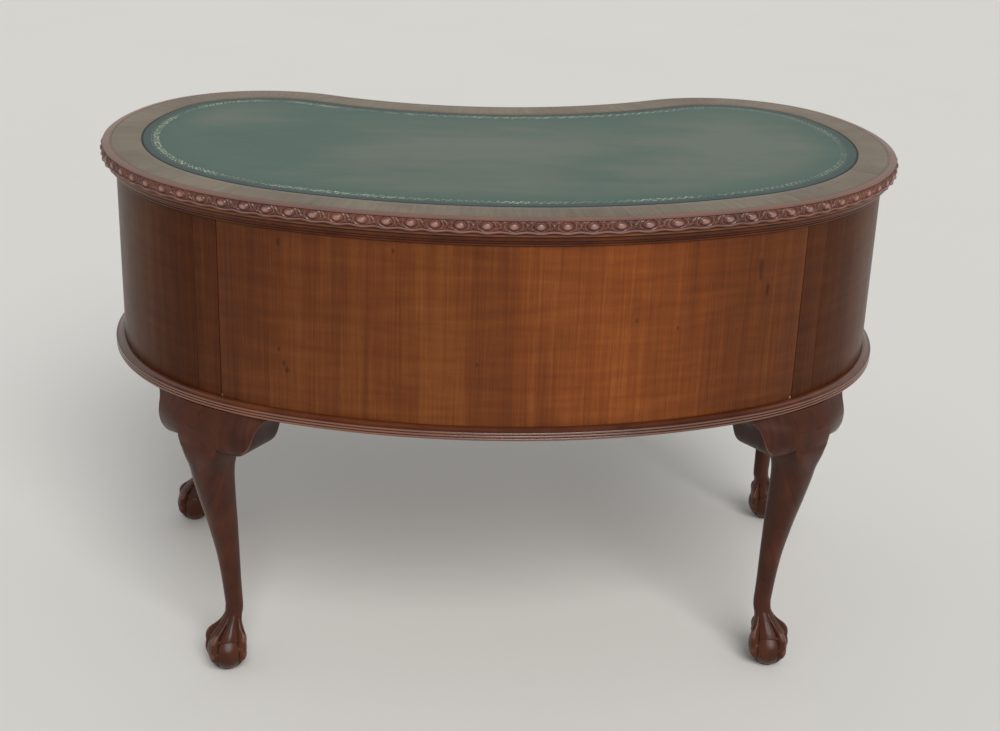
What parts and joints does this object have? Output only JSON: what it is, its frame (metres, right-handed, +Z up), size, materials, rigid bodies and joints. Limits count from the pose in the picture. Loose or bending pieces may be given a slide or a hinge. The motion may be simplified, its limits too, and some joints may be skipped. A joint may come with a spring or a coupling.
{
  "type": "kidney shaped desk",
  "caption": "Kidney shaped writing desk with a leather top, a carved edge, curved sides, drawers round a kneehole and cabriole legs with claw-and-ball feet.",
  "frame": {"origin": "on the floor, under the middle of the bounding box", "axes": "+Z up, +X along the length of the desk, the bowed finished side toward -Y, the hollow side where the sitter's knees go and the drawers open toward +Y"},
  "size_m": [1.2198, 0.7298, 0.755],
  "materials": {
    "base_moulding": "polished dark mahogany",
    "bow_left_leg": "polished dark mahogany",
    "bow_left_leg_end_bracket": "polished dark mahogany",
    "bow_left_leg_middle_bracket": "polished dark mahogany",
    "bow_panel": "polished mahogany",
    "bow_right_leg": "polished dark mahogany",
    "bow_right_leg_end_bracket": "polished dark mahogany",
    "bow_right_leg_middle_bracket": "polished dark mahogany",
    "carved_edge": "polished dark mahogany",
    "drawer_left_leg": "polished dark mahogany",
    "drawer_left_leg_end_bracket": "polished dark mahogany",
    "drawer_left_leg_middle_bracket": "polished dark mahogany",
    "drawer_right_leg": "polished dark mahogany",
    "drawer_right_leg_end_bracket": "polished dark mahogany",
    "drawer_right_leg_middle_bracket": "polished dark mahogany",
    "leather_inset": "worn dark green hide with a gilt tooled border",
    "left_bank_bottom": "polished mahogany",
    "left_bank_panel": "polished mahogany",
    "left_dust_board": "polished mahogany",
    "left_end_panel": "polished mahogany",
    "left_lower_drawer_back": "plain planed drawer lining",
    "left_lower_drawer_bottom": "plain planed drawer lining",
    "left_lower_drawer_front": "polished mahogany",
    "left_lower_drawer_left_side": "plain planed drawer lining",
    "left_lower_drawer_right_side": "plain planed drawer lining",
    "left_lower_handle_bail": "aged, softly polished",
    "left_lower_handle_plate": "aged, softly polished",
    "left_upper_drawer_back": "plain planed drawer lining",
    "left_upper_drawer_bottom": "plain planed drawer lining",
    "left_upper_drawer_front": "polished mahogany",
    "left_upper_drawer_left_side": "plain planed drawer lining",
    "left_upper_drawer_right_side": "plain planed drawer lining",
    "left_upper_handle_bail": "aged, softly polished",
    "left_upper_handle_plate": "aged, softly polished",
    "middle_drawer_back": "plain planed drawer lining",
    "middle_drawer_bottom": "plain planed drawer lining",
    "middle_drawer_front": "polished mahogany",
    "middle_drawer_left_side": "plain planed drawer lining",
    "middle_drawer_right_side": "plain planed drawer lining",
    "middle_handle_bail": "aged, softly polished",
    "middle_handle_plate": "aged, softly polished",
    "right_bank_bottom": "polished mahogany",
    "right_bank_panel": "polished mahogany",
    "right_dust_board": "polished mahogany",
    "right_end_panel": "polished mahogany",
    "right_lower_drawer_back": "plain planed drawer lining",
    "right_lower_drawer_bottom": "plain planed drawer lining",
    "right_lower_drawer_front": "polished mahogany",
    "right_lower_drawer_left_side": "plain planed drawer lining",
    "right_lower_drawer_right_side": "plain planed drawer lining",
    "right_lower_handle_bail": "aged, softly polished",
    "right_lower_handle_plate": "aged, softly polished",
    "right_upper_drawer_back": "plain planed drawer lining",
    "right_upper_drawer_bottom": "plain planed drawer lining",
    "right_upper_drawer_front": "polished mahogany",
    "right_upper_drawer_left_side": "plain planed drawer lining",
    "right_upper_drawer_right_side": "plain planed drawer lining",
    "right_upper_handle_bail": "aged, softly polished",
    "right_upper_handle_plate": "aged, softly polished",
    "top_board": "polished cross-banded mahogany"
  },
  "bodies": {
    "case": {"base_moulding": "base_moulding", "bow_left_leg": "bow_left_leg", "bow_left_leg_end_bracket": "bow_left_leg_end_bracket", "bow_left_leg_middle_bracket": "bow_left_leg_middle_bracket", "bow_panel": "bow_panel", "bow_right_leg": "bow_right_leg", "bow_right_leg_end_bracket": "bow_right_leg_end_bracket", "bow_right_leg_middle_bracket": "bow_right_leg_middle_bracket", "carved_edge": "carved_edge", "drawer_left_leg": "drawer_left_leg", "drawer_left_leg_end_bracket": "drawer_left_leg_end_bracket", "drawer_left_leg_middle_bracket": "drawer_left_leg_middle_bracket", "drawer_right_leg": "drawer_right_leg", "drawer_right_leg_end_bracket": "drawer_right_leg_end_bracket", "drawer_right_leg_middle_bracket": "drawer_right_leg_middle_bracket", "leather_inset": "leather_inset", "left_bank_bottom": "left_bank_bottom", "left_bank_panel": "left_bank_panel", "left_dust_board": "left_dust_board", "left_end_panel": "left_end_panel", "right_bank_bottom": "right_bank_bottom", "right_bank_panel": "right_bank_panel", "right_dust_board": "right_dust_board", "right_end_panel": "right_end_panel", "top_board": "top_board"},
    "middle_drawer": {"middle_drawer_front": "middle_drawer_front", "middle_drawer_left_side": "middle_drawer_left_side", "middle_drawer_right_side": "middle_drawer_right_side", "middle_drawer_back": "middle_drawer_back", "middle_drawer_bottom": "middle_drawer_bottom", "middle_handle_plate": "middle_handle_plate"},
    "middle_bail": {"middle_handle_bail": "middle_handle_bail"},
    "left_upper_drawer": {"left_upper_drawer_front": "left_upper_drawer_front", "left_upper_drawer_left_side": "left_upper_drawer_left_side", "left_upper_drawer_right_side": "left_upper_drawer_right_side", "left_upper_drawer_back": "left_upper_drawer_back", "left_upper_drawer_bottom": "left_upper_drawer_bottom", "left_upper_handle_plate": "left_upper_handle_plate"},
    "left_upper_bail": {"left_upper_handle_bail": "left_upper_handle_bail"},
    "right_upper_drawer": {"right_upper_drawer_front": "right_upper_drawer_front", "right_upper_drawer_left_side": "right_upper_drawer_left_side", "right_upper_drawer_right_side": "right_upper_drawer_right_side", "right_upper_drawer_back": "right_upper_drawer_back", "right_upper_drawer_bottom": "right_upper_drawer_bottom", "right_upper_handle_plate": "right_upper_handle_plate"},
    "right_upper_bail": {"right_upper_handle_bail": "right_upper_handle_bail"},
    "left_lower_drawer": {"left_lower_drawer_front": "left_lower_drawer_front", "left_lower_drawer_left_side": "left_lower_drawer_left_side", "left_lower_drawer_right_side": "left_lower_drawer_right_side", "left_lower_drawer_back": "left_lower_drawer_back", "left_lower_drawer_bottom": "left_lower_drawer_bottom", "left_lower_handle_plate": "left_lower_handle_plate"},
    "left_lower_bail": {"left_lower_handle_bail": "left_lower_handle_bail"},
    "right_lower_drawer": {"right_lower_drawer_front": "right_lower_drawer_front", "right_lower_drawer_left_side": "right_lower_drawer_left_side", "right_lower_drawer_right_side": "right_lower_drawer_right_side", "right_lower_drawer_back": "right_lower_drawer_back", "right_lower_drawer_bottom": "right_lower_drawer_bottom", "right_lower_handle_plate": "right_lower_handle_plate"},
    "right_lower_bail": {"right_lower_handle_bail": "right_lower_handle_bail"}
  },
  "joints": [
    {"name": "middle_drawer_slide", "type": "slide", "parent": "case", "child": "middle_drawer", "axis": [0, 1, 0], "range_m": [0, 0.35]},
    {"name": "middle_bail_swing", "type": "hinge", "parent": "middle_drawer", "child": "middle_bail", "pos_m": [0, 0.2643, 0.65825], "axis": [1, 0, 0], "range_deg": [-15, 90]},
    {"name": "left_upper_drawer_slide", "type": "slide", "parent": "case", "child": "left_upper_drawer", "axis": [0, 1, 0], "range_m": [0, 0.3]},
    {"name": "left_upper_bail_swing", "type": "hinge", "parent": "left_upper_drawer", "child": "left_upper_bail", "pos_m": [-0.36992, 0.35557, 0.65825], "axis": [1, 0, 0], "range_deg": [-15, 90]},
    {"name": "right_upper_drawer_slide", "type": "slide", "parent": "case", "child": "right_upper_drawer", "axis": [0, 1, 0], "range_m": [0, 0.3]},
    {"name": "right_upper_bail_swing", "type": "hinge", "parent": "right_upper_drawer", "child": "right_upper_bail", "pos_m": [0.36992, 0.35557, 0.65825], "axis": [1, 0, 0], "range_deg": [-15, 90]},
    {"name": "left_lower_drawer_slide", "type": "slide", "parent": "case", "child": "left_lower_drawer", "axis": [0, 1, 0], "range_m": [0, 0.3]},
    {"name": "left_lower_bail_swing", "type": "hinge", "parent": "left_lower_drawer", "child": "left_lower_bail", "pos_m": [-0.36992, 0.35557, 0.51975], "axis": [1, 0, 0], "range_deg": [-15, 90]},
    {"name": "right_lower_drawer_slide", "type": "slide", "parent": "case", "child": "right_lower_drawer", "axis": [0, 1, 0], "range_m": [0, 0.3]},
    {"name": "right_lower_bail_swing", "type": "hinge", "parent": "right_lower_drawer", "child": "right_lower_bail", "pos_m": [0.36992, 0.35557, 0.51975], "axis": [1, 0, 0], "range_deg": [-15, 90]}
  ]
}
